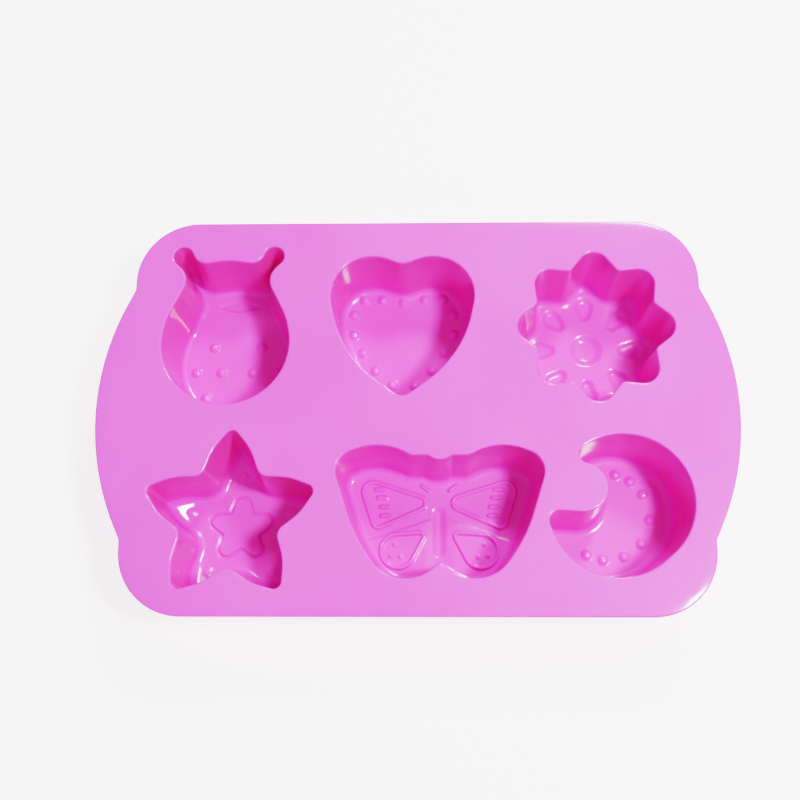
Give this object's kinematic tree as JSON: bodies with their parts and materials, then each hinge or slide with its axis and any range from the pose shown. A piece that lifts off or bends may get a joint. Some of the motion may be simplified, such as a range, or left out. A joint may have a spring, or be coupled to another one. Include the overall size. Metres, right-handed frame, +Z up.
{
  "type": "silicone soap mould",
  "caption": "Flexible tray mould: a flat sheet with bulging ends and deep shaped cups for casting soap bars, with raised relief on the cup floors.",
  "frame": {"origin": "on the resting plane, under the middle of the sheet", "axes": "+X along the length, +Y towards the ladybird, heart and flower row, +Z up out of the cups"},
  "size_m": [0.28, 0.177, 0.038],
  "materials": {
    "silicone": "satin-glossy moulded silicone"
  },
  "bodies": {
    "root": {"deck": "silicone", "left_grip": "silicone", "right_grip": "silicone", "ladybird_wall": "silicone", "ladybird_floor": "silicone", "ladybird_head_plate": "silicone", "ladybird_spots": "silicone", "heart_wall": "silicone", "heart_floor": "silicone", "heart_studs": "silicone", "flower_wall": "silicone", "flower_floor": "silicone", "star_wall": "silicone", "star_floor": "silicone", "star_plateau": "silicone", "star_studs": "silicone", "butterfly_wall": "silicone", "butterfly_floor": "silicone", "butterfly_lower_wings": "silicone", "butterfly_upper_ridges": "silicone", "butterfly_lower_ridges": "silicone", "butterfly_wing_bars": "silicone", "butterfly_feelers": "silicone", "butterfly_wing_dots": "silicone", "moon_wall": "silicone", "moon_floor": "silicone", "moon_studs": "silicone"}
  },
  "joints": []
}
